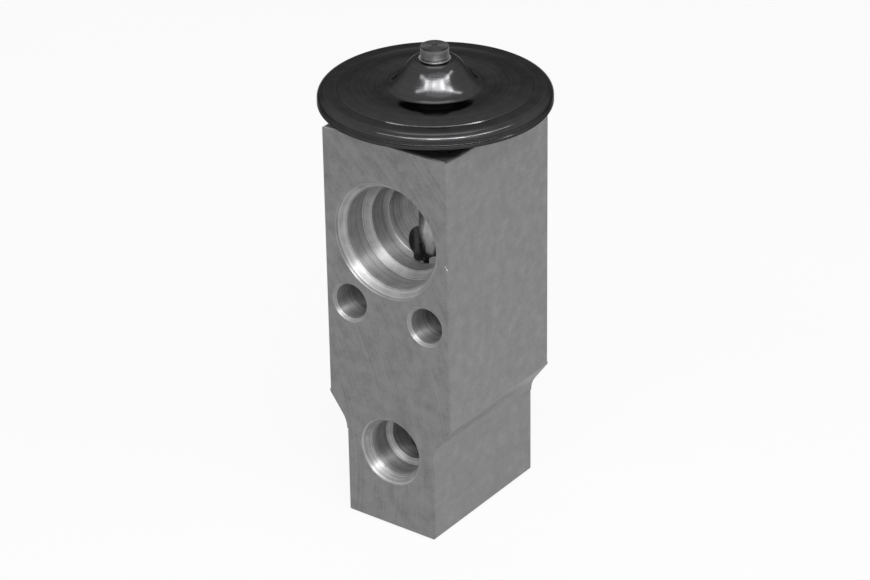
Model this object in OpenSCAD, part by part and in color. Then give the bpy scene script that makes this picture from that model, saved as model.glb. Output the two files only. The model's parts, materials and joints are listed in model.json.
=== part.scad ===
/* [Block] */
// Width of the block across the face with the ports
block_w = 28; // [27:0.5:34]
// Depth of the block along the pipes
block_d = 32; // [31:0.5:40]
// Height of the block
block_h = 80; // [79:0.5:90]
// Width of the narrow leg at the bottom
leg_w = 20.3; // [19:0.1:23]
// Height at which the sides start to draw in
shoulder_z = 25.3; // [24:0.1:28]
// Slope of the shoulder from the upright
shoulder_angle = 36; // [32:1:44]
// Round where the shoulder leaves the wide sides
shoulder_out_r = 1.2; // [0.6:0.1:2]
// Round where the shoulder runs into the leg
shoulder_in_r = 5; // [3:0.1:6]
// Round along the corners of the extruded bar
corner_r = 0.7; // [0.3:0.1:1.2]
// Bevel on the machined edges
edge_break = 0.25; // [0.1:0.05:0.5]
// Height of the small nick in the front right edge
nick_z = 58.9; // [55:0.1:63]
// Radius of the nick
nick_r = 0.22; // [0.1:0.02:0.4]
// Length of the nick
nick_len = 1.5; // [1:0.1:2.5]

/* [Suction passage] */
// Height of the large ports
suction_z = 60.4; // [59:0.1:61]
// Radius of the seat for the pipe end and its ring seal
suction_seat_r = 10.1; // [9.8:0.05:10.3]
// Depth at which that seat ends
suction_seat_depth = 6.3; // [5.8:0.1:6.8]
// Growth of the radius over the lead-in cone
suction_lead_w = 1.3; // [1:0.05:1.4]
// Depth at which the lead-in cone ends
suction_lead_depth = 1.85; // [1.6:0.05:2.2]
// Bevel at the mouth
suction_lip_w = 0.25; // [0.1:0.05:0.35]
// Depth at which the land between that bevel and the cone ends
suction_land_depth = 0.55; // [0.4:0.05:0.8]
// Radius of the pilot bore behind the seat
suction_nose_r = 8.65; // [8.4:0.05:8.9]
// Depth at which the seat's sloping shoulder meets the pilot bore
suction_shoulder_depth = 7.4; // [7.2:0.1:7.8]
// Depth at which the pilot bore ends
suction_nose_depth = 10.9; // [10.4:0.1:11.3]
// Radius of the passage between the two ports
suction_bore_r = 7.45; // [7.2:0.05:7.6]

/* [Liquid inlet] */
// Height of the inlet port
inlet_z = 16.1; // [15.6:0.1:17]
// Radius of the seat for the pipe end
inlet_seat_r = 5.6; // [5.3:0.02:5.8]
// Depth at which that seat ends
inlet_seat_depth = 6.05; // [5.6:0.05:6.3]
// Growth of the radius over the lead-in cone
inlet_lead_w = 0.95; // [0.7:0.01:1.05]
// Depth at which the lead-in cone ends
inlet_lead_depth = 2; // [1.7:0.02:2.3]
// Bevel at the mouth
inlet_lip_w = 0.45; // [0.2:0.01:0.55]
// Depth at which the land between that bevel and the cone ends
inlet_land_depth = 0.6; // [0.56:0.01:0.8]
// Depth at which the seat's sloping shoulder meets the passage
inlet_shoulder_depth = 6.65; // [6.5:0.05:7]
// Radius of the passage into the valve chamber
inlet_bore_r = 4.44; // [4:0.02:4.5]

/* [Outlet to the evaporator] */
// Height of the outlet port
outlet_z = 28; // [27.5:0.1:29]
// Radius of the seat for the pipe end
outlet_seat_r = 6.9; // [6.5:0.05:7.2]
// Depth at which that seat ends
outlet_seat_depth = 6.6; // [6:0.1:7]
// Growth of the radius over the lead-in cone
outlet_lead_w = 1; // [0.7:0.05:1.1]
// Depth at which the lead-in cone ends
outlet_lead_depth = 2.1; // [1.8:0.05:2.4]
// Bevel at the mouth
outlet_lip_w = 0.35; // [0.2:0.05:0.45]
// Depth at which the land between that bevel and the cone ends
outlet_land_depth = 0.6; // [0.5:0.05:0.8]
// Depth at which the seat's sloping shoulder meets the passage
outlet_shoulder_depth = 7.9; // [7.6:0.1:8.4]
// Radius of the passage to the orifice
outlet_bore_r = 4.6; // [4.2:0.05:4.9]

/* [Bolt holes] */
// Distance from the middle of the block to each through hole
bolt_x = 8.6; // [8.4:0.05:9]
// Drop from the suction port to the through holes
bolt_drop = 15; // [14.8:0.1:16]
// Radius of a through hole
bolt_r = 3.5; // [3.2:0.05:3.6]
// Bevel at both ends of a through hole
bolt_break = 0.58; // [0.3:0.02:0.7]

/* [Power head] */
// Radius of the head
head_r = 21.6; // [21:0.1:24]
// Gap between the block and the underside of the rim
head_gap = 2.55; // [2.5:0.01:3]
// Thickness of the lower cover at the rim
lower_rim_t = 0.9; // [0.85:0.01:1.2]
// Width of the flat underside of the rim
lower_rim_w = 3; // [2.5:0.1:3.4]
// Radius of the flange that seats on the block
flange_r = 13.4; // [13:0.1:13.9]
// Upright edge of that flange
flange_t = 0.4; // [0.2:0.05:0.7]
// Radius of the threaded neck over its crests
neck_r = 9.9; // [9.6:0.05:10.1]
// Length of the threaded neck
neck_len = 6.9; // [6:0.1:7]
// Bore of the neck
neck_bore_r = 6.2; // [6:0.05:6.6]
// Height of the cover's inner floor over the block
cover_floor_t = 1.35; // [1.1:0.05:1.35]
// Radius of that floor
cover_floor_r = 12.5; // [12:0.1:13]
// Thickness of the upper cover's sheet
upper_t = 1.9; // [1.9:0.01:2.1]
// Round on the upper edge of the rim
rim_round = 1.65; // [1.2:0.05:1.65]
// Round on the lower edge of the rim
rim_low_round = 0.45; // [0.3:0.05:0.6]
// Bevel on both sides of the seam between the covers
seam_break = 0.2; // [0.1:0.02:0.3]
// Width of the flat rim outside the crease in the upper cover
crease_w = 3.8; // [3.4:0.1:4.4]
// Step at the crease
crease_step = 0.15; // [0.1:0.01:0.2]
// Width of the slope of that step
crease_slope = 0.12; // [0.08:0.01:0.2]
// Width of the swell that rises from the crease
swell_w = 4.6; // [3.8:0.1:5]
// Rise of that swell
swell_h = 0.5; // [0.4:0.05:0.7]
// Radius of the foot of the dome
dome_foot_r = 9.1; // [8.6:0.1:9.6]
// Drop from the top of the swell to the foot of the dome
dome_foot_drop = 0.3; // [0.2:0.05:0.4]
// Radius of the flat top of the dome
dome_top_r = 3.4; // [3.1:0.05:3.8]
// Height of the dome over its foot
dome_h = 5.2; // [4.8:0.05:6]

/* [Charge plug] */
// Radius of the plug
plug_r = 2.6; // [2.4:0.05:2.7]
// Height of the plug's head
plug_head_h = 2.1; // [1.6:0.02:2.3]
// Radius of the neck under the head
plug_neck_r = 2.3; // [2:0.05:2.35]
// Height of that neck
plug_neck_h = 0.16; // [0.1:0.02:0.3]
// Radius of the welded foot under the neck
plug_foot_r = 2.95; // [2.8:0.05:3.05]
// Height of that foot
plug_foot_h = 0.22; // [0.15:0.01:0.3]
// Radius of the shank in the filling hole
plug_shank_r = 1.3; // [1.1:0.05:1.5]
// Round on the plug's upper edge
plug_round = 0.2; // [0.1:0.02:0.4]
// Radius of the dimple on the plug
dimple_r = 0.5; // [0.3:0.05:0.7]
// Depth of that dimple
dimple_depth = 0.3; // [0.2:0.05:0.5]

/* [Diaphragm and pad] */
// Thickness of the diaphragm
diaphragm_t = 0.15; // [0.12:0.01:0.2]
// Set-back of the diaphragm's edge from the rim
diaphragm_edge = 0.3; // [0.2:0.05:0.5]
// Number of waves in the diaphragm
wave_count = 3; // [2:1:4]
// Depth of the waves
wave_depth = 0.28; // [0.15:0.01:0.32]
// Radius of the pad under the diaphragm
pad_r = 10.8; // [10:0.1:11.2]
// Thickness of the pad
pad_t = 1.1; // [0.9:0.05:1.1]
// Radius of the boss under the pad
boss_r = 5; // [4.7:0.05:5.3]
// Length of that boss
boss_len = 2.8; // [2.6:0.1:3.2]
// Depth to which the rod enters the boss
rod_socket = 2.4; // [2:0.1:2.6]

/* [Sensing rod] */
// Radius of the rod in the suction passage
rod_r = 3.45; // [3.2:0.05:3.6]
// Radius of the rod below it
rod_low_r = 2.75; // [2.6:0.05:2.85]
// Drop from the passage to the rod's taper
rod_taper_drop = 0.65; // [0.5:0.05:0.9]
// Height of that taper
rod_taper_h = 0.8; // [0.5:0.1:1]
// Land between the taper and the groove
rod_land_h = 0.35; // [0.2:0.05:0.5]
// Width of the groove
rod_groove_w = 0.8; // [0.5:0.05:0.9]
// Radius at the bottom of the groove
rod_groove_r = 2.2; // [2:0.05:2.3]
// Length of the rod below its seal
rod_tail = 1.95; // [1.7:0.05:2.1]
// Depth to which the pin enters the rod
pin_socket = 2; // [1.6:0.1:2.2]
// Radius of the push pin
pin_r = 1.1; // [1:0.02:1.14]

/* [Rod seal] */
// Radius of the well around the rod
well_r = 5.4; // [5.2:0.05:5.5]
// Depth of the well under the passage
well_depth = 4.75; // [4.5:0.05:4.8]
// Thickness of the ring seal on the rod
rod_seal_t = 1.52; // [1.4:0.02:1.6]
// Thickness of the backup ring
backup_t = 0.8; // [0.6:0.05:0.9]
// Thickness of the retainer
retainer_t = 0.5; // [0.4:0.05:0.6]
// Width of the retainer's band outside its teeth
retainer_band = 1.1; // [0.9:0.05:1.3]
// Number of teeth on the retainer
tooth_count = 6; // [5:1:8]
// Thickness of the ring seal under the head
head_seal_t = 1.45; // [1.2:0.05:1.5]

/* [Valve] */
// Radius of the valve chamber
chamber_r = 6.2; // [6.1:0.05:6.4]
// Rise of the chamber's ceiling over the inlet port
chamber_rise = 4.5; // [4.45:0.05:4.8]
// Radius of the seat where it meets the chamber
seat_mouth_r = 2.4; // [2.3:0.02:2.5]
// Radius of the orifice
orifice_r = 1.5; // [1.45:0.01:1.6]
// Radius of the ball
ball_r = 2.4; // [2.35:0.01:2.6]
// Travel of the ball away from its seat
valve_travel = 0.6; // [0.4:0.05:0.7]
// Radius of the cradle's cup
cup_r = 2.95; // [2.8:0.05:3]
// Drop from the middle of the ball to the cup's edge
cup_drop = 0.9; // [0.7:0.05:1.2]
// Thickness of the cup under the ball
cup_floor_t = 0.8; // [0.6:0.05:1]
// Radius of the cradle's flange
cradle_r = 4.7; // [4.5:0.05:4.8]
// Thickness of the cradle's flange
cradle_t = 1; // [0.8:0.05:1.2]
// Radius of the cradle's stem
stem_r = 2.3; // [2.1:0.05:2.4]
// Length of the cradle's stem
stem_len = 2.9; // [2.4:0.1:3.2]
// Thickness of the damper spring
damper_t = 0.25; // [0.2:0.01:0.3]
// Width of its legs
damper_leg_w = 2; // [1.6:0.1:2.3]
// Number of its legs
damper_legs = 3; // [3:1:3]
// Drop of the legs below the cradle's flange
damper_drop = 2.4; // [2:0.1:2.6]

/* [Superheat spring] */
// Radius of the coil to the middle of the wire
coil_r = 3.36; // [3.3:0.02:3.5]
// Radius of the wire
wire_r = 0.4; // [0.36:0.02:0.44]
// Number of turns, the two closed ends among them
coil_turns = 6; // [5:0.5:6]

/* [Adjusting screw] */
// Recess of the screw in the bottom of the block
screw_recess = 1.2; // [1.1:0.05:1.6]
// Radius of the screw over its thread
screw_thread_r = 6.9; // [6.8:0.02:7]
// Length of the thread
screw_thread_len = 3; // [2.6:0.1:3.2]
// Pitch of the thread, which is also the travel either way
screw_pitch = 1; // [0.8:0.05:1.05]
// Distance from the thread to the seal's groove
screw_land_h = 2.2; // [2.1:0.05:2.6]
// Thickness of the ring seal on the screw
screw_seal_t = 1.2; // [1.1:0.02:1.4]
// Height of the collar over the groove
screw_collar_h = 0.9; // [0.7:0.05:1.1]
// Radius of the spigot inside the spring
spigot_r = 2.4; // [2.2:0.05:2.5]
// Height of that spigot
spigot_h = 1.4; // [1.2:0.1:1.6]
// Hexagon socket across its flats
hex_af = 6; // [5:0.5:7]
// Depth of the socket
hex_depth = 3.4; // [3:0.1:4]

/* [Hidden] */
$fn = 96;

// Overrun of every cut past the face that it opens
overrun = 1;
// Gap around what slides or turns in a bore
run_gap = 0.05;
// Gap where one piece seats on another that moves, or in its socket
seat_gap = 0.02;
// Gap at the sides of a ring seal
ring_gap = 0.03;
// Gap between the crests of a thread and the wall of its bore
thread_gap = 0.05;
// Gap left at the end of a travel
end_gap = 0.3;
// Gap between the retainer's teeth and the rod
tooth_gap = 0.15;
// Bevel on the small turned edges
fine_break = 0.2;
// Bevel on the plug's foot
foot_break = 0.1;
// Bevel on the edges inside the ports
port_break = 0.2;
// Angle of a drill's point
drill_angle = 118;
// Angle of the valve seat from the axis
seat_angle = 45;
// Sides of the spring's wire, and rings in each of its turns
wire_sides = 8;
turn_steps = 20;
// Straight pieces in a round of the outline, and in a curve of the pressed covers
arc_steps = 10;
curve_steps = 12;
// Share of a retainer's notch that stays open between two teeth
notch_share = 0.45;
// Share of the room beside the pad in which the diaphragm stays flat
flat_share = 0.24;
// Share of the damper legs' drop at which they touch the chamber
touch_share = 0.6;

// Outline of the bar: its shoulder, seen from the front
shoulder_dx = (block_w - leg_w) / 2;
shoulder_turn = (shoulder_out_r + shoulder_in_r) * (1 - cos(shoulder_angle));
shoulder_slant = (shoulder_dx - shoulder_turn) / sin(shoulder_angle);
shoulder_rise = (shoulder_out_r + shoulder_in_r) * sin(shoulder_angle)
    + shoulder_slant * cos(shoulder_angle);
shoulder_base_z = shoulder_z - shoulder_rise;

// Radii and heights in the power head
crease_r = head_r - crease_w;
swell_r = crease_r - swell_w;
rim_z = block_h + head_gap;
seam_z = rim_z + lower_rim_t;
cover_z = seam_z + diaphragm_t;
cover_top_z = cover_z + upper_t;
swell_z = cover_top_z + crease_step + swell_h;
dome_foot_z = swell_z - dome_foot_drop;
dome_top_z = dome_foot_z + dome_h;
plug_neck_z = dome_top_z + plug_foot_h;
plug_head_z = plug_neck_z + plug_neck_h;
plug_top_z = plug_head_z + plug_head_h;

// Threaded bore and ring seal under the head
neck_end_gap = end_gap + fine_break;
head_bore_z = block_h - neck_len - neck_end_gap;
head_recess_r = neck_r + head_seal_t + 2 * ring_gap;
head_recess_depth = head_seal_t + ring_gap;

// Pad, rod and rod seal
pad_z = seam_z - seat_gap - pad_t;
boss_z = pad_z - boss_len;
rod_top_z = boss_z + rod_socket;
well_z = suction_z - suction_bore_r - well_depth;
gland_r = rod_low_r + rod_seal_t + 2 * ring_gap;
gland_z = well_z - rod_seal_t - ring_gap - backup_t;
rod_end_z = gland_z - rod_tail;
guide_z = rod_end_z - valve_travel - end_gap;
rod_taper_z = suction_z - suction_bore_r - rod_taper_drop;
rod_groove_z = rod_taper_z - rod_taper_h - rod_land_h;

// Valve seat, ball and cradle
chamber_top_z = inlet_z + chamber_rise;
seat_apex_z = chamber_top_z + seat_mouth_r / tan(seat_angle);
orifice_z = seat_apex_z - orifice_r / tan(seat_angle);
ball_z = seat_apex_z - (ball_r + seat_gap) / sin(seat_angle);
cradle_z = ball_z - ball_r - cup_floor_t;
stem_z = cradle_z - stem_len;
bolt_z = suction_z - bolt_drop;

// Adjusting screw
screw_travel = screw_pitch;
screw_bore_r = screw_thread_r + thread_gap;
screw_bore_depth = screw_recess + screw_thread_len + screw_travel + end_gap;
screw_thread_top_z = screw_recess + screw_thread_len;
screw_body_r = chamber_r - run_gap;
screw_groove_z = screw_thread_top_z + screw_land_h;
screw_groove_w = screw_seal_t + 2 * ring_gap;
screw_groove_r = chamber_r - screw_seal_t - 2 * ring_gap;
screw_seat_z = screw_groove_z + screw_groove_w + screw_collar_h;

// Points of a round from one angle to another
function round_points(c, r, a0, a1, steps = arc_steps) =
    [for (i = [0 : steps]) let (a = a0 + (a1 - a0) * i / steps) c + r * [cos(a), sin(a)]];

// The points of a list in their opposite order
function backwards(points) = [for (i = [len(points) - 1 : -1 : 0]) points[i]];

// A smooth step from 0 to 1
function ease(t) = (1 - cos(180 * t)) / 2;

// Right half of the bar's outline, from the middle of the bottom to the middle of the top
function block_half() = concat(
    round_points([leg_w / 2 - corner_r, corner_r], corner_r, -90, 0),
    round_points([leg_w / 2 + shoulder_in_r, shoulder_base_z], shoulder_in_r, 180, 180 - shoulder_angle),
    round_points([block_w / 2 - shoulder_out_r, shoulder_z], shoulder_out_r, -shoulder_angle, 0),
    round_points([block_w / 2 - corner_r, block_h - corner_r], corner_r, 0, 90));

// Height of the upper cover's outside at a radius inside the crease
function cover_height(r) =
    r > swell_r ? swell_z - swell_h * (1 - sin(90 * (crease_r - r) / (crease_r - swell_r)))
    : r > dome_foot_r ? swell_z - dome_foot_drop * ease((swell_r - r) / (swell_r - dome_foot_r))
    : dome_foot_z + dome_h * ease((dome_foot_r - r) / (dome_foot_r - dome_top_r));

// Radii at which the cover's curve is set out, from the crease to the dome's flat top
function curve_radii() = concat(
    [for (i = [0 : curve_steps]) crease_r + (swell_r - crease_r) * i / curve_steps],
    [for (i = [1 : curve_steps]) swell_r + (dome_foot_r - swell_r) * i / curve_steps],
    [for (i = [1 : 2 * curve_steps])
        dome_foot_r + (dome_top_r - dome_foot_r) * i / (2 * curve_steps)]);

// The cover's curve as points, lowered by a thickness
function cover_curve(drop) = [for (r = curve_radii()) [r, cover_height(r) - drop]];

// A port: bevel, land, lead-in cone, seat and shoulder, then the points of what lies deeper,
// all as radius and depth, sunk from the face that lies at zero
module port_cut(seat_r, seat_depth, lead_w, lead_depth, lip_w, land_depth, deeper) {
    rotate([-90, 0, 0])
        rotate_extrude()
            polygon(concat(
                [
                    [0, -overrun],
                    [seat_r + lead_w + lip_w, -overrun],
                    [seat_r + lead_w + lip_w, 0],
                    [seat_r + lead_w, lip_w],
                    [seat_r + lead_w, land_depth],
                    [seat_r, lead_depth],
                    [seat_r, seat_depth]],
                deeper,
                [[0, deeper[len(deeper) - 1][1]]]));
}

module suction_port_cut() {
    port_cut(suction_seat_r, suction_seat_depth, suction_lead_w, suction_lead_depth,
        suction_lip_w, suction_land_depth, [
            [suction_nose_r, suction_shoulder_depth],
            [suction_nose_r, suction_nose_depth],
            [suction_bore_r + port_break, suction_nose_depth],
            [suction_bore_r, suction_nose_depth + port_break]]);
}

// Both suction ports and the passage between them
module suction_cut() {
    translate([0, 0, suction_z]) {
        for (side = [0, 1])
            mirror([0, side, 0])
                translate([0, -block_d / 2, 0])
                    suction_port_cut();
        rotate([90, 0, 0])
            cylinder(h = block_d - 2 * suction_nose_depth, r = suction_bore_r, center = true);
    }
}

// Inlet port and its passage into the chamber
module inlet_cut() {
    translate([0, -block_d / 2, inlet_z]) {
        port_cut(inlet_seat_r, inlet_seat_depth, inlet_lead_w, inlet_lead_depth,
            inlet_lip_w, inlet_land_depth, [[inlet_bore_r, inlet_shoulder_depth]]);
        rotate([-90, 0, 0])
            cylinder(h = block_d / 2, r = inlet_bore_r);
    }
}

// Outlet port, and its passage drilled across the orifice
module outlet_cut() {
    tip = outlet_bore_r / tan(drill_angle / 2);
    translate([0, block_d / 2, outlet_z])
        mirror([0, 1, 0]) {
            port_cut(outlet_seat_r, outlet_seat_depth, outlet_lead_w, outlet_lead_depth,
                outlet_lip_w, outlet_land_depth, [[outlet_bore_r, outlet_shoulder_depth]]);
            rotate([-90, 0, 0])
                rotate_extrude()
                    polygon([
                        [0, 0],
                        [outlet_bore_r, 0],
                        [outlet_bore_r, block_d / 2 + pin_r],
                        [0, block_d / 2 + pin_r + tip]]);
        }
}

// The two through holes for the long screws, bevelled at both faces
module bolt_cut() {
    for (side = [-1, 1])
        translate([side * bolt_x, 0, bolt_z])
            rotate([90, 0, 0])
                rotate_extrude()
                    polygon([
                        [0, -block_d / 2 - overrun],
                        [bolt_r + bolt_break + overrun, -block_d / 2 - overrun],
                        [bolt_r, -block_d / 2 + bolt_break],
                        [bolt_r, block_d / 2 - bolt_break],
                        [bolt_r + bolt_break + overrun, block_d / 2 + overrun],
                        [0, block_d / 2 + overrun]]);
}

// Bores from above: head thread, seal recess, well, gland, rod guide and pin guide
module upper_bore_cut() {
    rotate_extrude()
        polygon([
            [0, outlet_z],
            [pin_r + run_gap, outlet_z],
            [pin_r + run_gap, guide_z],
            [rod_low_r + run_gap, guide_z],
            [rod_low_r + run_gap, gland_z],
            [gland_r, gland_z],
            [gland_r, well_z],
            [well_r, well_z],
            [well_r, head_bore_z],
            [neck_r + thread_gap, head_bore_z],
            [neck_r + thread_gap, block_h - head_recess_depth],
            [head_recess_r, block_h - head_recess_depth],
            [head_recess_r, block_h + overrun],
            [0, block_h + overrun]]);
}

// Bores from below: screw thread, valve chamber, seat and orifice
module lower_bore_cut() {
    rotate_extrude()
        polygon([
            [0, -overrun],
            [screw_bore_r + fine_break + overrun, -overrun],
            [screw_bore_r, fine_break],
            [screw_bore_r, screw_bore_depth],
            [chamber_r + fine_break, screw_bore_depth],
            [chamber_r, screw_bore_depth + fine_break],
            [chamber_r, chamber_top_z],
            [seat_mouth_r, chamber_top_z],
            [orifice_r, orifice_z],
            [orifice_r, outlet_z],
            [0, outlet_z]]);
}

// A square bar set on its edge, which bevels an edge that it runs along
module bevel_bar(length) {
    rotate([0, 0, 45])
        cube([edge_break * sqrt(2), edge_break * sqrt(2), length], center = true);
}

module edge_bevels() {
    upper_len = block_h - shoulder_z + overrun;
    lower_len = shoulder_base_z + overrun;
    for (x = [-1, 1], y = [-1, 1]) {
        translate([x * block_w / 2, y * block_d / 2, shoulder_z + upper_len / 2])
            bevel_bar(upper_len);
        translate([x * leg_w / 2, y * block_d / 2, shoulder_base_z - lower_len / 2])
            bevel_bar(lower_len);
    }
    for (y = [-1, 1], z = [0, block_h])
        translate([0, y * block_d / 2, z])
            rotate([0, 90, 0])
                bevel_bar(block_w + overrun);
}

module edge_nick() {
    translate([block_w / 2 - edge_break, -block_d / 2, nick_z])
        rotate([0, 135, 0])
            cylinder(h = nick_len, r = nick_r, center = true);
}

module valve_block() {
    color("silver")
        difference() {
            rotate([90, 0, 0])
                linear_extrude(height = block_d, center = true)
                    polygon(concat(block_half(),
                        backwards([for (p = block_half()) [-p[0], p[1]]])));
            suction_cut();
            inlet_cut();
            outlet_cut();
            bolt_cut();
            upper_bore_cut();
            lower_bore_cut();
            edge_bevels();
            edge_nick();
        }
}

module lower_cover() {
    color([0.25, 0.25, 0.27])
        rotate_extrude()
            polygon(concat(
                [
                    [neck_bore_r, block_h - neck_len],
                    [neck_r - fine_break, block_h - neck_len],
                    [neck_r, block_h - neck_len + fine_break],
                    [neck_r, block_h],
                    [flange_r, block_h],
                    [flange_r, block_h + flange_t],
                    [head_r - lower_rim_w, rim_z]],
                round_points([head_r - rim_low_round, rim_z + rim_low_round], rim_low_round, -90, 0),
                [
                    [head_r, seam_z - seam_break],
                    [head_r - seam_break, seam_z],
                    [crease_r, seam_z],
                    [cover_floor_r, block_h + cover_floor_t],
                    [neck_bore_r, block_h + cover_floor_t]]));
}

module upper_cover() {
    color([0.25, 0.25, 0.27])
        rotate_extrude()
            polygon(concat(
                [
                    [crease_r, cover_z],
                    [head_r - seam_break, cover_z],
                    [head_r, cover_z + seam_break]],
                round_points([head_r - rim_round, cover_top_z - rim_round], rim_round, 0, 90),
                [[crease_r + crease_slope, cover_top_z]],
                cover_curve(0),
                [
                    [plug_shank_r + seat_gap, dome_top_z],
                    [plug_shank_r + seat_gap, dome_top_z - upper_t]],
                backwards(cover_curve(upper_t))));
}

// Flat middle and edge, with waves that hang below the plane of the seam
module diaphragm() {
    wave_in_r = pad_r + flat_share * (crease_r - pad_r);
    wave_out_r = crease_r - fine_break - wave_depth * (crease_r - cover_floor_r)
        / (lower_rim_t + head_gap - cover_floor_t);
    steps = wave_count * curve_steps;
    wave = [for (i = [0 : steps])
        [wave_in_r + (wave_out_r - wave_in_r) * i / steps,
            seam_z - wave_depth * ease(2 * wave_count * i / steps)]];
    color("gainsboro")
        rotate_extrude()
            polygon(concat(
                [[0, seam_z]],
                wave,
                [
                    [head_r - diaphragm_edge, seam_z],
                    [head_r - diaphragm_edge, cover_z]],
                backwards([for (p = wave) p + [0, diaphragm_t]]),
                [[0, cover_z]]));
}

module charge_plug() {
    color("lightgray")
        rotate_extrude()
            polygon(concat(
                [
                    [0, dome_top_z - upper_t],
                    [plug_shank_r, dome_top_z - upper_t],
                    [plug_shank_r, dome_top_z],
                    [plug_foot_r, dome_top_z],
                    [plug_foot_r, plug_neck_z - foot_break],
                    [plug_foot_r - foot_break, plug_neck_z],
                    [plug_neck_r, plug_neck_z],
                    [plug_neck_r, plug_head_z],
                    [plug_r, plug_head_z]],
                round_points([plug_r - plug_round, plug_top_z - plug_round], plug_round, 0, 90),
                [
                    [dimple_r, plug_top_z],
                    [0, plug_top_z - dimple_depth]]));
}

// A ring seal of round section, lying at a height
module ring_seal(middle_r, t, z) {
    translate([0, 0, z])
        rotate_extrude()
            translate([middle_r, 0])
                circle(r = t / 2, $fn = 32);
}

module head_seal_ring() {
    color([0.1, 0.1, 0.1])
        ring_seal(neck_r + ring_gap + head_seal_t / 2, head_seal_t,
            block_h - head_recess_depth + head_seal_t / 2);
}

module rod_seal_ring() {
    color([0.1, 0.1, 0.1])
        ring_seal(rod_low_r + ring_gap + rod_seal_t / 2, rod_seal_t, gland_z + rod_seal_t / 2);
}

module rod_backup_ring() {
    color("ivory")
        translate([0, 0, well_z - backup_t])
            difference() {
                cylinder(h = backup_t, r = gland_r - ring_gap);
                translate([0, 0, -overrun])
                    cylinder(h = backup_t + 2 * overrun, r = rod_low_r + ring_gap);
            }
}

// A washer with inner teeth, pressed to the bottom of the well
module rod_seal_retainer() {
    band_in_r = well_r - seat_gap - retainer_band;
    tooth_r = rod_low_r + tooth_gap;
    notch_w = notch_share * 2 * PI * band_in_r / tooth_count;
    color("gray")
        translate([0, 0, well_z])
            difference() {
                cylinder(h = retainer_t, r = well_r - seat_gap);
                translate([0, 0, -overrun])
                    cylinder(h = retainer_t + 2 * overrun, r = tooth_r);
                for (i = [0 : tooth_count - 1])
                    rotate([0, 0, 360 * i / tooth_count])
                        translate([0, -notch_w / 2, -overrun])
                            cube([band_in_r, notch_w, retainer_t + 2 * overrun]);
            }
}

module diaphragm_pad() {
    color("goldenrod")
        rotate_extrude()
            polygon([
                [0, rod_top_z + seat_gap],
                [rod_r + seat_gap, rod_top_z + seat_gap],
                [rod_r + seat_gap, boss_z],
                [boss_r - fine_break, boss_z],
                [boss_r, boss_z + fine_break],
                [boss_r, pad_z],
                [pad_r - fine_break, pad_z],
                [pad_r, pad_z + fine_break],
                [pad_r, pad_z + pad_t - fine_break],
                [pad_r - fine_break, pad_z + pad_t],
                [0, pad_z + pad_t]]);
}

module sensing_rod() {
    color("silver")
        rotate_extrude()
            polygon([
                [0, rod_end_z + pin_socket],
                [pin_r + seat_gap, rod_end_z + pin_socket],
                [pin_r + seat_gap, rod_end_z],
                [rod_low_r - fine_break, rod_end_z],
                [rod_low_r, rod_end_z + fine_break],
                [rod_low_r, rod_groove_z - rod_groove_w],
                [rod_groove_r, rod_groove_z - rod_groove_w],
                [rod_groove_r, rod_groove_z],
                [rod_low_r, rod_groove_z],
                [rod_low_r, rod_taper_z - rod_taper_h],
                [rod_r, rod_taper_z],
                [rod_r, rod_top_z - fine_break],
                [rod_r - fine_break, rod_top_z],
                [0, rod_top_z]]);
}

module push_pin() {
    color("lightgray")
        rotate_extrude()
            polygon([
                [0, ball_z + ball_r + seat_gap],
                [pin_r - fine_break, ball_z + ball_r + seat_gap],
                [pin_r, ball_z + ball_r + seat_gap + fine_break],
                [pin_r, rod_end_z + pin_socket - fine_break],
                [pin_r - fine_break, rod_end_z + pin_socket - seat_gap],
                [0, rod_end_z + pin_socket - seat_gap]]);
}

module valve_ball() {
    color("lightgray")
        translate([0, 0, ball_z])
            sphere(r = ball_r);
}

// A cup for the ball, a flange for the spring and a stem inside the spring
module ball_cradle() {
    cup_in_r = ball_r + seat_gap;
    cup_angle = asin(cup_drop / cup_in_r);
    color("darkgray")
        rotate_extrude()
            polygon(concat(
                [
                    [0, stem_z],
                    [stem_r - fine_break, stem_z],
                    [stem_r, stem_z + fine_break],
                    [stem_r, cradle_z],
                    [cradle_r, cradle_z],
                    [cradle_r, cradle_z + cradle_t],
                    [cup_r, cradle_z + cradle_t],
                    [cup_r, ball_z - cup_drop]],
                round_points([0, ball_z], cup_in_r, -cup_angle, -90)));
}

// A thin ring on the flange, with bowed legs that rub on the chamber wall
module damper_spring() {
    ring_z = cradle_z + cradle_t;
    out_r = chamber_r - run_gap;
    in_r = cradle_r + run_gap;
    leg_z = cradle_z - damper_drop;
    touch_z = ring_z - touch_share * (ring_z - leg_z);
    bow = [[in_r, ring_z], [out_r - damper_t, touch_z], [in_r, leg_z]];
    color("lightgray")
        intersection() {
            rotate_extrude()
                polygon([
                    [cup_r + seat_gap, ring_z],
                    bow[0],
                    bow[1],
                    bow[2],
                    bow[2] + [damper_t, 0],
                    bow[1] + [damper_t, 0],
                    bow[0] + [damper_t, damper_t],
                    [cup_r + seat_gap, ring_z + damper_t]]);
            union() {
                translate([0, 0, ring_z - damper_t])
                    cylinder(h = 3 * damper_t, r = in_r - run_gap);
                for (i = [0 : damper_legs - 1])
                    rotate([0, 0, 90 + 360 * i / damper_legs])
                        translate([0, -damper_leg_w / 2, leg_z - overrun])
                            cube([chamber_r, damper_leg_w, ring_z - leg_z + 2 * overrun]);
            }
        }
}

// Height of the middle of the wire after a number of turns: the first and last turn lie closed
function coil_height(turn) =
    let (free = cradle_z - screw_seat_z - 2 * wire_r - 2 * 2 * wire_r, open = coil_turns - 2)
    screw_seat_z + wire_r + (turn < 1 ? 2 * wire_r * turn
        : turn < 1 + open ? 2 * wire_r + free * (turn - 1) / open
        : 2 * wire_r + free + 2 * wire_r * (turn - 1 - open));

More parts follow.
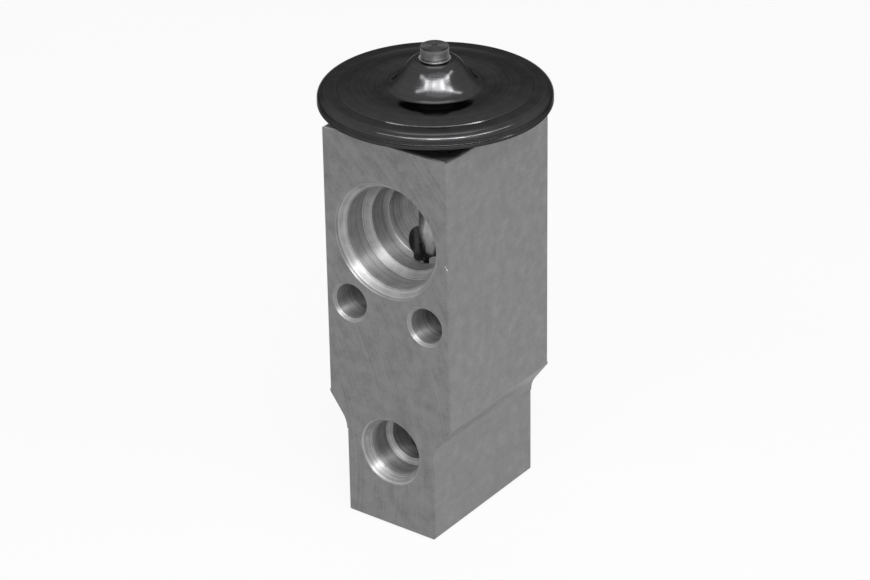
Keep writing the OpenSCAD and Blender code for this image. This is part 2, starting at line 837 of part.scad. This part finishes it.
module superheat_spring() {
    rings = coil_turns * turn_steps;
    points = [for (i = [0 : rings]) let (turn = i / turn_steps, a = 360 * turn)
        for (j = [0 : wire_sides - 1]) let (b = 360 * j / wire_sides)
            [(coil_r + wire_r * cos(b)) * cos(a), (coil_r + wire_r * cos(b)) * sin(a),
                coil_height(turn) + wire_r * sin(b)]];
    sides = [for (i = [0 : rings - 1], j = [0 : wire_sides - 1]) let (k = (j + 1) % wire_sides)
        [i * wire_sides + j, (i + 1) * wire_sides + j, (i + 1) * wire_sides + k, i * wire_sides + k]];
    ends = [[for (j = [0 : wire_sides - 1]) j],
        [for (j = [wire_sides - 1 : -1 : 0]) rings * wire_sides + j]];
    color("gray")
        polyhedron(points = points, faces = concat(sides, ends));
}

// Threaded foot with a hexagon socket, a groove for the seal and a seat for the spring
module adjusting_screw() {
    color("gainsboro")
        difference() {
            rotate_extrude()
                polygon([
                    [0, screw_recess],
                    [screw_thread_r - fine_break, screw_recess],
                    [screw_thread_r, screw_recess + fine_break],
                    [screw_thread_r, screw_thread_top_z - fine_break],
                    [screw_thread_r - fine_break, screw_thread_top_z],
                    [screw_body_r, screw_thread_top_z],
                    [screw_body_r, screw_groove_z],
                    [screw_groove_r, screw_groove_z],
                    [screw_groove_r, screw_groove_z + screw_groove_w],
                    [screw_body_r, screw_groove_z + screw_groove_w],
                    [screw_body_r, screw_seat_z - fine_break],
                    [screw_body_r - fine_break, screw_seat_z],
                    [spigot_r, screw_seat_z],
                    [spigot_r, screw_seat_z + spigot_h - fine_break],
                    [spigot_r - fine_break, screw_seat_z + spigot_h],
                    [0, screw_seat_z + spigot_h]]);
            translate([0, 0, screw_recess - overrun])
                cylinder(h = hex_depth + overrun, r = hex_af / 2 / cos(30), $fn = 6);
        }
}

module screw_seal_ring() {
    color([0.1, 0.1, 0.1])
        ring_seal(chamber_r - ring_gap - screw_seal_t / 2, screw_seal_t,
            screw_groove_z + screw_groove_w / 2);
}

valve_block();
lower_cover();
diaphragm();
upper_cover();
charge_plug();
head_seal_ring();
rod_seal_ring();
rod_backup_ring();
rod_seal_retainer();
diaphragm_pad();
sensing_rod();
push_pin();
valve_ball();
ball_cradle();
damper_spring();
superheat_spring();
adjusting_screw();
screw_seal_ring();
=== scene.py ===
"""A block expansion valve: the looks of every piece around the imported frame, in metres."""
import json
import math

import bmesh
import bpy
from mathutils import Matrix, Vector


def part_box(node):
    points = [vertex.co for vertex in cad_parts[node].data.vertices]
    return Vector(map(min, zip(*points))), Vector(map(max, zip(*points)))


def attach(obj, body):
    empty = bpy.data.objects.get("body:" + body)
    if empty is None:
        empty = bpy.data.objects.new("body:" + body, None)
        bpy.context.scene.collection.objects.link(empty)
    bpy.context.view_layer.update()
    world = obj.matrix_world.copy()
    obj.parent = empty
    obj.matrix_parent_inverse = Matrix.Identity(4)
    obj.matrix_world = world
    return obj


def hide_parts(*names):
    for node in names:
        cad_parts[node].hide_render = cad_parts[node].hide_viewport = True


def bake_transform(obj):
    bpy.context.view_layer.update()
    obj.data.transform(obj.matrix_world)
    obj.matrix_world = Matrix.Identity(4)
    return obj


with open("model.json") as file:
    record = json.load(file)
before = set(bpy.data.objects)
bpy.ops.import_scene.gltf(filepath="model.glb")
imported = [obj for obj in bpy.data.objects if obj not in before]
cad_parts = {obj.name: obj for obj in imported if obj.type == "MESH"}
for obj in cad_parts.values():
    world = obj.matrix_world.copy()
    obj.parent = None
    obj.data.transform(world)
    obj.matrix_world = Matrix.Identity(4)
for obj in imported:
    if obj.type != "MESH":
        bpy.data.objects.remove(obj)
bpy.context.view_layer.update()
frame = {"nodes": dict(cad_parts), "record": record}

MM = 0.001
NODES = frame["nodes"]
SLOTS = {part["node"]: part["material_slot"] for part in frame["record"]["subparts"]}
MOUNTS = {mount["name"]: mount["pos_m"] for mount in frame["record"]["mounts"]}

# The camera: where it stands around the valve, and its lens
CAMERA_AZIMUTH = 36.494
CAMERA_ELEVATION = 27.797
CAMERA_ROLL = -0.918
CAMERA_DISTANCE = 0.5955
CAMERA_TARGET = Vector((-0.00078, 0, 0.04336))
CAMERA_CLIP = 0.01
SENSOR_WIDTH = 36
LENS = 131.14

# How far the lamps stand from the camera's target, and what the room adds
LIGHT_DISTANCE = 0.7
WORLD_LIGHT = 0.2
# The key arc: azimuth, height and radiance of each panel
KEY_ELEVATION = 47
KEY_WIDTH = 0.36
KEY_ARC = ((-100, 0.05, 8), (-71, 0.05, 14), (-42, 0.085, 15), (-13, 0.05, 14), (16, 0.05, 8))
# Azimuth, elevation, width, height and radiance of the two weak panels
KEY_SURROUND = (-42, 46, 0.7, 0.5, 0.9)
TOP_PANEL = (126, 76, 0.35, 0.3, 1.7)

# The floor: half its side, the grey of its paper, and how far it lies under the block
FLOOR_REACH = 3.0
PAPER_GREY = 0.85
FLOOR_DROP = 0.2 * MM
# Share of the floor's look that is plain white to the camera, where the rest keeps the shadow,
# and the part of that share that reflections get
FLOOR_GLOW = 0.9
REFLECTED_SHARE = 0.5

# Places that the finishes follow. These and the lengths of the finishes are in millimetres
HALF_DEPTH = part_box("valve_block")[1].y / MM
PLUG_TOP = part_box("charge_plug")[1].z / MM
SUCTION_Z = MOUNTS["suction_outlet_port"][2] / MM
INLET_Z = MOUNTS["liquid_inlet_port"][2] / MM
OUTLET_Z = MOUNTS["evaporator_outlet_port"][2] / MM
BOLT_X = MOUNTS["through_hole_right"][0] / MM
BOLT_Z = MOUNTS["through_hole_right"][2] / MM
# Reach of the turned finish around the ports and the through holes
SUCTION_REACH = 12.2
LOW_PORT_REACH = 8.6
BOLT_REACH = 4.3
# Height that parts the large ports from the small ones
PORT_SPLIT_Z = 46
# How far inside the two faces their finish begins and is full, and where that of the bores ends
FACE_BEGINS = 0.3
FACE_FULL = 0.05
BORES_END = 0.02
# Middle of the arcs that the face cutter left, to the left of the block and at this height
CUTTER_X = 70
CUTTER_Z = 10
# Dark and light grey of the drawn sides, the two faces and the bores. The faces' greys are darker than the
# sides' as painted shade
SIDE_GREYS = (0.225, 0.33)
FACE_GREYS_WITH_PAINTED_SHADE = (0.155, 0.255)
BORE_GREYS = (0.24, 0.52)
BORE_ROUGH = 0.46
# Most values of a noise lie between these
NOISE_LOW = 0.3
NOISE_HIGH = 0.7
# Height over which the plug's turned side gives way to the painted dark reflection on its upper end
PLUG_PAINTED_DARK_FADE = 0.14

# Edges flatter than this many degrees are smoothed. The spring's wire has few sides, so more there
SMOOTH_ANGLE = 17
WIRE_SMOOTH_ANGLE = 60
WELD_DISTANCE = 0.002 * MM

# Where the coil spring is cut, as a share of its height
SPRING_CUT_SHARE = 0.6

# The weld bead in the seam between the covers. Its middle lies inside the head's edge by BEAD_SUNK times
# the radius of its tube
HEAD_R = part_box("upper_cover")[1].x
SEAM_Z = (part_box("diaphragm")[1].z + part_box("lower_cover")[1].z) / 2
BEAD_TUBE_R = 0.2 * MM
BEAD_SUNK = 1.1
BEAD_RIPPLE = 0.02 * MM
BEAD_RIPPLES = 220
BEAD_STEPS = 1760
BEAD_SIDES = 10


def direction(azimuth, elevation):
    """The way from the valve towards a compass angle, counted from +X towards +Y, and a height angle."""
    a, e = math.radians(azimuth), math.radians(elevation)
    return Vector((math.cos(a) * math.cos(e), math.sin(a) * math.cos(e), math.sin(e)))


def make_camera():
    """The camera at the photograph's viewing angle, from the front right corner and above."""
    back = direction(CAMERA_AZIMUTH - 90, CAMERA_ELEVATION)
    level = Vector((0, 0, 1)).cross(back).normalized()
    upright = back.cross(level)
    roll = math.radians(CAMERA_ROLL)
    right = math.cos(roll) * level + math.sin(roll) * upright
    up = back.cross(right)
    data = bpy.data.cameras.new("camera")
    data.sensor_width = SENSOR_WIDTH
    data.lens = LENS
    data.clip_start = CAMERA_CLIP
    camera = bpy.data.objects.new("camera", data)
    place = Matrix((right, up, back)).transposed().to_4x4()
    place.translation = CAMERA_TARGET + back * CAMERA_DISTANCE
    camera.matrix_world = place
    bpy.context.scene.collection.objects.link(camera)
    bpy.context.scene.camera = camera


class Shader:
    """A node tree that is built by calls: most add a node and return its output."""

    def __init__(self, tree):
        self.tree = tree
        tree.nodes.clear()

    def add(self, kind, inputs=None, **settings):
        """Adds a node with its inputs and settings, and returns the node itself."""
        node = self.tree.nodes.new(kind)
        for name, value in settings.items():
            setattr(node, name, value)
        for name, value in (inputs or {}).items():
            self.feed(node.inputs[name], value)
        return node

    def feed(self, socket, value):
        """Links an output to a socket, or sets a plain value on it."""
        if isinstance(value, bpy.types.NodeSocket):
            self.tree.links.new(value, socket)
        else:
            socket.default_value = value

    def place(self):
        """The point on the piece, in the frame and in millimetres."""
        point = self.add("ShaderNodeTexCoord").outputs["Object"]
        return self.stretch(point, 1 / MM, 1 / MM, 1 / MM)

    def split(self, vector):
        return self.add("ShaderNodeSeparateXYZ", {0: vector}).outputs

    def join(self, x, y, z):
        return self.add("ShaderNodeCombineXYZ", {0: x, 1: y, 2: z}).outputs[0]

    def stretch(self, vector, x, y, z):
        return self.add("ShaderNodeVectorMath", {0: vector, 1: (x, y, z)}, operation="MULTIPLY").outputs[0]

    def math(self, operation, a, b=0.0):
        return self.add("ShaderNodeMath", {0: a, 1: b}, operation=operation).outputs[0]

    def product(self, a, b):
        return self.math("MULTIPLY", a, b)

    def sum(self, a, b):
        return self.math("ADD", a, b)

    def weigh(self, a, share_a, b, share_b):
        """The sum of two values, each times its share."""
        return self.sum(self.product(a, share_a), self.product(b, share_b))

    def away(self, a, b):
        """Distance from an axis, from the two parts of the way there."""
        return self.math("SQRT", self.sum(self.product(a, a), self.product(b, b)))

    def ramp(self, value, low, high, to_low=0.0, to_high=1.0):
        """Value carried smoothly from one range to another."""
        node = self.add("ShaderNodeMapRange", {"Value": value, "From Min": low, "From Max": high,
                                               "To Min": to_low, "To Max": to_high},
                        interpolation_type="SMOOTHSTEP")
        return node.outputs["Result"]

    def spread(self, noise, to_low=0.0, to_high=1.0):
        """A noise carried from where most of its values lie to another range."""
        return self.ramp(noise, NOISE_LOW, NOISE_HIGH, to_low, to_high)

    def noise(self, vector, scale, detail, rough):
        return self.add("ShaderNodeTexNoise", {"Vector": vector, "Scale": scale, "Detail": detail,
                                               "Roughness": rough}).outputs["Fac"]

    def blend(self, factor, a, b):
        return self.add("ShaderNodeMix", {"Factor": factor, "A": a, "B": b}).outputs["Result"]

    def blend_colour(self, factor, a, b):
        node = self.add("ShaderNodeMix", {"Factor": factor}, data_type="RGBA")
        self.feed(node.inputs[6], a)
        self.feed(node.inputs[7], b)
        return node.outputs[2]

    def tint(self, value, dark, light):
        """A ramp between two colours."""
        return self.blend_colour(value, (*dark, 1), (*light, 1))

    def bump(self, height, depth, under=None):
        """A bump whose height runs from 0 to 1 over a depth in millimetres, laid over another if given."""
        inputs = {"Height": height, "Distance": depth * MM, "Strength": 1.0}
        if under is not None:
            inputs["Normal"] = under
        return self.add("ShaderNodeBump", inputs).outputs[0]

    def mix(self, factor, below, above):
        """Two surfaces, mixed by a factor."""
        node = self.add("ShaderNodeMixShader", {0: factor})
        self.feed(node.inputs[1], below.outputs[0])
        self.feed(node.inputs[2], above.outputs[0])
        return node


def new_material(name, build):
    material = bpy.data.materials.new(name)
    material.use_nodes = True
    shader = Shader(material.node_tree)
    surface = build(shader)
    shader.add("ShaderNodeOutputMaterial", {"Surface": surface.outputs[0]})
    return material


def bore_axis(shader, x, y, z):
    """X and height of the bore axis along Y that a point of the block belongs to, and the bore's reach."""
    low_z = shader.blend(shader.math("GREATER_THAN", y, 0.0), INLET_Z, OUTLET_Z)
    is_high = shader.math("GREATER_THAN", z, PORT_SPLIT_Z)
    port_z = shader.blend(is_high, low_z, SUCTION_Z)
    port_reach = shader.blend(is_high, LOW_PORT_REACH, SUCTION_REACH)

    from_bolt_x = shader.math("SUBTRACT", shader.math("ABSOLUTE", x), BOLT_X)
    from_bolt = shader.away(from_bolt_x, shader.math("SUBTRACT", z, BOLT_Z))
    in_bolt = shader.math("LESS_THAN", from_bolt, BOLT_REACH)
    axis_x = shader.product(shader.product(shader.math("SIGN", x), BOLT_X), in_bolt)
    return axis_x, shader.blend(in_bolt, port_z, BOLT_Z), shader.blend(in_bolt, port_reach, BOLT_REACH)


def bore_place(shader, x, y, z, depth_in):
    """Whether a point is in a turned bore, its distance from the axis, and the way across the feed marks."""
    axis_x, axis_z, reach = bore_axis(shader, x, y, z)
    from_x = shader.math("SUBTRACT", x, axis_x)
    from_z = shader.math("SUBTRACT", z, axis_z)
    radius = shader.away(from_x, from_z)
    within = shader.math("LESS_THAN", depth_in, HALF_DEPTH - BORES_END)
    turned = shader.product(shader.math("LESS_THAN", radius, reach), within)
    along = shader.product(shader.math("SIGN", y), radius)
    return turned, radius, shader.join(from_x, along, from_z)


def feed_marks(shader, radius, depth_in):
    """The fine rings that the turning tool left in the bores."""
    rings = shader.join(shader.sum(radius, depth_in), shader.product(radius, 0.3), 0.0)
    return shader.noise(rings, scale=1.5, detail=5, rough=0.75)


def cutter_marks(shader, x, z):
    """The wide arcs that the face cutter left."""
    radius = shader.away(shader.sum(x, CUTTER_X), shader.math("SUBTRACT", z, CUTTER_Z))
    arcs = shader.join(radius, shader.product(z, 0.02), 0.0)
    return shader.noise(arcs, scale=1.6, detail=5, rough=0.65)


def drawn_marks(shader, point):
    """The lines drawn along the bar."""
    return shader.noise(shader.stretch(point, 1.4, 0.03, 1.4), scale=1.3, detail=4, rough=0.6)


def block_aluminium(shader):
    """Bar stock: faced front and back, drawn sides, turned ports whose highlights cross the feed marks."""
    point = shader.place()
    x, y, z = shader.split(point)
    depth_in = shader.math("ABSOLUTE", y)
    on_face = shader.ramp(depth_in, HALF_DEPTH - FACE_BEGINS, HALF_DEPTH - FACE_FULL)
    turned, radius, across = bore_place(shader, x, y, z, depth_in)

    rings = feed_marks(shader, radius, depth_in)
    outer = shader.blend(on_face, drawn_marks(shader, point), cutter_marks(shader, x, z))
    lines = shader.blend(turned, outer, rings)
    lines_share = shader.blend(shader.math("MAXIMUM", turned, on_face), 0.12, 0.35)
    mottle = shader.noise(point, scale=0.42, detail=6, rough=0.6)
    grain = shader.noise(point, scale=2.6, detail=3, rough=0.6)
    shade = shader.sum(shader.weigh(lines, lines_share, mottle, 0.45), shader.product(grain, 0.2))

    # Painted shade: the faced front and back get darker greys than the drawn sides
    dark, light = (shader.blend(on_face, *greys) for greys in zip(SIDE_GREYS, FACE_GREYS_WITH_PAINTED_SHADE))
    skin = shader.ramp(shade, 0.27, 0.62, dark, light)
    bore = shader.ramp(shader.blend(0.5, shade, rings), 0.34, 0.64, *BORE_GREYS)
    skin_rough = shader.spread(mottle, 0.38, 0.46)
    return shader.add("ShaderNodeBsdfPrincipled", {
        "Base Color": shader.blend(turned, skin, bore),
        "Metallic": 0.9,
        "Roughness": shader.blend(turned, skin_rough, BORE_ROUGH),
        "Anisotropic": shader.product(turned, 0.85),
        "Tangent": across,
        "Normal": shader.bump(lines, 0.005, shader.bump(grain, 0.004))})


def head_metal(shader):
    """Pressed sheet, glossy with faint spun rings, its base grey kept near black as a painted dark
    reflection.
    """
    point = shader.place()
    x, y, z = shader.split(point)
    rings = shader.join(shader.away(x, y), 0.0, shader.product(z, 0.5))
    spun = shader.noise(rings, scale=2.2, detail=5, rough=0.7)
    smear = shader.noise(point, scale=0.35, detail=4, rough=0.6)
    shade = shader.ramp(shader.weigh(smear, 0.4, spun, 0.6), 0.35, 0.65)
    # Painted dark reflection: the base grey is kept near black
    return shader.add("ShaderNodeBsdfPrincipled", {
        "Base Color": shader.tint(shade, (0.042, 0.042, 0.043), (0.056, 0.056, 0.058)),
        "Metallic": 1.0,
        "Roughness": shader.spread(spun, 0.11, 0.16),
        "Normal": shader.bump(spun, 0.006),
        "Specular Tint": (0.4, 0.4, 0.4, 1)})


def turned_surface(shader, dark, light, rough, depth, stretch, end=None):
    """A metal turned round the upright axis, whose highlights run across its feed marks.

    rough is its lowest and highest roughness, depth that of the marks and stretch that of the highlights.
    end is the dark and light colour of the plug's upper end, painted near black as a dark reflection, where
    they differ from its side's.
    """
    point = shader.place()
    x, y, z = shader.split(point)
    radius = shader.away(x, y)
    lines = shader.noise(shader.join(shader.sum(radius, z), 0.0, 0.0), scale=3, detail=5, rough=0.7)
    smear = shader.noise(point, scale=0.5, detail=3, rough=0.5)
    shade = shader.spread(shader.weigh(lines, 0.5, smear, 0.5))
    colour = shader.tint(shade, dark, light)
    if end:
        # Painted dark reflection: the plug's upper end is coloured near black
        on_painted_dark_end = shader.ramp(z, PLUG_TOP - 2 * PLUG_PAINTED_DARK_FADE, PLUG_TOP - PLUG_PAINTED_DARK_FADE)
        colour = shader.blend_colour(on_painted_dark_end, colour, shader.tint(smear, *end))
    return shader.add("ShaderNodeBsdfPrincipled", {
        "Base Color": colour,
        "Metallic": 1.0,
        "Roughness": shader.spread(smear, *rough),
        "Anisotropic": stretch,
        "Tangent": shader.join(x, y, shader.product(radius, -1.0)),
        "Normal": shader.bump(lines, depth)})


def turned_metal(dark, light, rough, depth=0.003, stretch=0.6):
    """The finish of a turned metal around one roughness."""
    def build(shader):
        return turned_surface(shader, dark, light, (rough - 0.04, rough + 0.05), depth, stretch)
    return build


def plug_metal(shader):
    """The plug is turned bright at its side, and its upper end is painted near black as a dark reflection.
    """
    return turned_surface(shader, (0.1, 0.1, 0.101), (0.3, 0.3, 0.303), rough=(0.34, 0.42), depth=0.006,
                          stretch=0.95, end=((0.02, 0.02, 0.02), (0.04, 0.04, 0.041)))


def seal_rubber(shader):
    """Moulded black rubber with a fine bloom."""
    point = shader.place()
    bloom = shader.noise(point, scale=0.9, detail=4, rough=0.6)
    grain = shader.noise(point, scale=6, detail=2, rough=0.5)
    shade = shader.ramp(bloom, 0.35, 0.75)
    return shader.add("ShaderNodeBsdfPrincipled", {
        "Base Color": shader.tint(shade, (0.012, 0.012, 0.012), (0.035, 0.035, 0.036)),
        "Metallic": 0.0,
        "Roughness": shader.spread(bloom, 0.5, 0.65),
        "Normal": shader.bump(grain, 0.01)})


def backup_plastic(shader):
    """Skived white fluoropolymer."""
    point = shader.place()
    grain = shader.noise(shader.stretch(point, 1.0, 1.0, 5.0), scale=2, detail=3, rough=0.5)
    return shader.add("ShaderNodeBsdfPrincipled", {
        "Base Color": shader.tint(grain, (0.7, 0.69, 0.65), (0.82, 0.81, 0.78)),
        "Metallic": 0.0,
        "Roughness": shader.spread(grain, 0.38, 0.5),
        "Normal": shader.bump(grain, 0.006)})


# The finish of each material slot. For a turned metal: its dark colour, its light one and its roughness
FINISHES = {
    "block_aluminium": block_aluminium,
    "head_metal": head_metal,
    "plug_steel": plug_metal,
    "diaphragm_steel": turned_metal((0.42, 0.42, 0.43), (0.55, 0.55, 0.56), 0.24),
    "seal_rubber": seal_rubber,
    "backup_plastic": backup_plastic,
    "spring_steel": turned_metal((0.3, 0.3, 0.31), (0.42, 0.42, 0.43), 0.28),
    "pad_brass": turned_metal((0.55, 0.38, 0.15), (0.68, 0.5, 0.22), 0.3),
    "rod_aluminium": turned_metal((0.3, 0.3, 0.302), (0.42, 0.42, 0.424), 0.24),
    "pin_steel": turned_metal((0.42, 0.42, 0.43), (0.52, 0.52, 0.53), 0.18),
    "ball_steel": turned_metal((0.5, 0.5, 0.51), (0.56, 0.56, 0.57), 0.1, depth=0.001, stretch=0.0),
    "cradle_steel": turned_metal((0.35, 0.35, 0.36), (0.45, 0.45, 0.46), 0.28),
    "screw_aluminium": turned_metal((0.42, 0.42, 0.424), (0.55, 0.55, 0.555), 0.28),
}


def smoothing_tree():
    """Joins the split corners of a node and shades it smooth, apart from its real edges."""
    tree = bpy.data.node_groups.new("smooth_by_angle", "GeometryNodeTree")
    tree.interface.new_socket("Geometry", in_out="INPUT", socket_type="NodeSocketGeometry")
    tree.interface.new_socket("Geometry", in_out="OUTPUT", socket_type="NodeSocketGeometry")
    add, link = tree.nodes.new, tree.links.new
    start, end = add("NodeGroupInput"), add("NodeGroupOutput")
    bare = add("GeometryNodeRemoveAttribute")
    bare.inputs["Name"].default_value = "custom_normal"
    merge = add("GeometryNodeMergeByDistance")
    merge.inputs["Distance"].default_value = WELD_DISTANCE
    angle = add("GeometryNodeInputMeshEdgeAngle")
    flat = add("FunctionNodeCompare")
    flat.operation = "LESS_THAN"
    flat.inputs[1].default_value = math.radians(SMOOTH_ANGLE)
    faces, edges = add("GeometryNodeSetShadeSmooth"), add("GeometryNodeSetShadeSmooth")
    faces.domain, edges.domain = "FACE", "EDGE"
    link(start.outputs[0], bare.inputs[0])
    link(bare.outputs[0], merge.inputs[0])
    link(merge.outputs[0], faces.inputs[0])
    link(faces.outputs[0], edges.inputs[0])
    link(angle.outputs[0], flat.inputs[0])
    link(flat.outputs[0], edges.inputs["Shade Smooth"])
    link(edges.outputs[0], end.inputs[0])
    return tree


def dress_nodes():
    """Every node's slot gets its finish, and its shading follows its real edges."""
    tree = smoothing_tree()
    made = {name: new_material(name + "_finish", build) for name, build in FINISHES.items()}
    for name, node in NODES.items():
        node.material_slots[0].material = made[SLOTS[name]]
        node.modifiers.new("smooth", "NODES").node_group = tree
    return made


def new_object(name, mesh):
    """An object in the scene that holds the mesh built so far."""
    data = bpy.data.meshes.new(name)
    mesh.to_mesh(data)
    mesh.free()
    made = bpy.data.objects.new(name, data)
    bpy.context.scene.collection.objects.link(made)
    return made


def round_wire(mesh, rim):
    """Shades the wire round, apart from its ground ends and its cut."""
    for face in mesh.faces:
        face.smooth = True
    for edge in mesh.edges:
        edge.smooth = edge.calc_face_angle(0) < math.radians(WIRE_SMOOTH_ANGLE)
    for edge in rim:
        edge.smooth = False


def cut_spring(middle, upper):
    """The coil spring above or below the cut in its middle, closed there."""
    mesh = bmesh.new()
    mesh.from_mesh(NODES["superheat_spring"].data)
    bmesh.ops.remove_doubles(mesh, verts=mesh.verts, dist=WELD_DISTANCE)
    whole = mesh.verts[:] + mesh.edges[:] + mesh.faces[:]
    bmesh.ops.bisect_plane(mesh, geom=whole, plane_co=middle, plane_no=(0, 0, 1),
                           clear_inner=upper, clear_outer=not upper)
    rim = [edge for edge in mesh.edges if edge.is_boundary]
    bmesh.ops.holes_fill(mesh, edges=rim, sides=0)
    round_wire(mesh, rim)
    return mesh


def make_spring_part(name, upper, finish):
    """One part of the coil spring, above or below its cut and closed there."""
    low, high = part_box("superheat_spring")
    middle = Vector((0, 0, low.z + SPRING_CUT_SHARE * (high.z - low.z)))
    part = new_object(name, cut_spring(middle, upper))
    part.data.materials.append(finish)
    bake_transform(part)
    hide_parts("superheat_spring")


def make_spring(finish):
    """Cut in two: an upper and a lower part, each with the spring's finish. Cut in two, because
    its ends follow two joints: the valve's lift and the screw's advance.
    """
    make_spring_part("superheat_spring_upper", True, finish)
    make_spring_part("superheat_spring_lower", False, finish)


def bead_section(mesh, turn):
    """The bead's round section at one angle along the seam, thinner between the ripples."""
    tube = BEAD_TUBE_R - BEAD_RIPPLE * (1 - math.cos(BEAD_RIPPLES * turn)) / 2
    section = []
    for j in range(BEAD_SIDES):
        side = 2 * math.pi * j / BEAD_SIDES
        reach = HEAD_R - BEAD_SUNK * BEAD_TUBE_R + tube * math.cos(side)
        corner = (reach * math.cos(turn), reach * math.sin(turn), SEAM_Z + tube * math.sin(side))
        section.append(mesh.verts.new(corner))
    return section


def make_bead(finish):
    """The fine rippled weld that closes the seam all round."""
    mesh = bmesh.new()
    sections = [bead_section(mesh, 2 * math.pi * i / BEAD_STEPS) for i in range(BEAD_STEPS)]
    for i, here in enumerate(sections):
        ahead = sections[(i + 1) % BEAD_STEPS]
        for j in range(BEAD_SIDES):
            k = (j + 1) % BEAD_SIDES
            mesh.faces.new((here[j], ahead[j], ahead[k], here[k])).smooth = True
    mesh.normal_update()
    bead = new_object("rim_weld_bead", mesh)
    bead.data.materials.append(finish)
    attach(bead, "block")


def seen_white(shader, reflected_share):
    """How much of the plain white a ray sees: all from the camera, a share when reflected or bent."""
    path = shader.add("ShaderNodeLightPath").outputs
    bent = shader.math("MAXIMUM", path["Is Glossy Ray"], path["Is Transmission Ray"])
    return shader.math("MAXIMUM", path["Is Camera Ray"], shader.product(bent, reflected_share))


def floor_paper(shader):
    """White paper with the valve's shadow on it, seen through from below."""
    paper = shader.add("ShaderNodeBsdfDiffuse", {"Color": (PAPER_GREY, PAPER_GREY, PAPER_GREY, 1)})
    glow = shader.add("ShaderNodeEmission", {"Color": (1, 1, 1, 1), "Strength": 1.0})
    share = shader.product(seen_white(shader, REFLECTED_SHARE), FLOOR_GLOW)
    top = shader.mix(share, paper, glow)
    under = shader.add("ShaderNodeNewGeometry").outputs["Backfacing"]
    return shader.mix(under, top, shader.add("ShaderNodeBsdfTransparent"))


def make_floor():
    mesh = bmesh.new()
    bmesh.ops.create_grid(mesh, x_segments=1, y_segments=1, size=FLOOR_REACH)
    floor = new_object("floor", mesh)
    floor.data.materials.append(new_material("floor_paper", floor_paper))
    floor.location.z = -FLOOR_DROP


def make_world():
    """A dim room that looks white to the camera and in reflections."""
    world = bpy.data.worlds.new("studio")
    bpy.context.scene.world = world
    world.use_nodes = True
    shader = Shader(world.node_tree)
    room = shader.add("ShaderNodeBackground", {"Color": (1, 1, 1, 1), "Strength": WORLD_LIGHT})
    white = shader.add("ShaderNodeBackground", {"Color": (1, 1, 1, 1), "Strength": 1.0})
    mixed = shader.mix(seen_white(shader, 1.0), room, white)
    shader.add("ShaderNodeOutputWorld", {"Surface": mixed.outputs[0]})


def area_light(name, azimuth, elevation, width, height, radiance):
    """A soft panel that faces the valve. Its power follows from how bright its surface is."""
    data = bpy.data.lights.new(name, "AREA")
    data.shape = "RECTANGLE"
    data.size = width
    data.size_y = height
    data.energy = radiance * math.pi * width * height
    light = bpy.data.objects.new(name, data)
    way = direction(azimuth, elevation)
    light.location = CAMERA_TARGET + way * LIGHT_DISTANCE
    light.rotation_euler = way.to_track_quat("Z", "Y").to_euler()
    light.visible_camera = False
    bpy.context.scene.collection.objects.link(light)


def make_lights():
    """An arc of low key panels before the valve, a weak broad one around it and a weak one overhead.

    Each lights matte and glossy surfaces alike. With the world they come to about 1 on a card that
    faces up, so a colour renders about as it is written.
    """
    for index, (azimuth, height, radiance) in enumerate(KEY_ARC):
        area_light(f"key_panel_{index}", azimuth, KEY_ELEVATION, KEY_WIDTH, height, radiance)
    area_light("key_surround", *KEY_SURROUND)
    area_light("top_panel", *TOP_PANEL)


make_camera()
make_world()
make_floor()
make_lights()
finishes = dress_nodes()
make_spring(finishes["spring_steel"])
make_bead(finishes["head_metal"])

bpy.context.scene.view_settings.view_transform = "Standard"
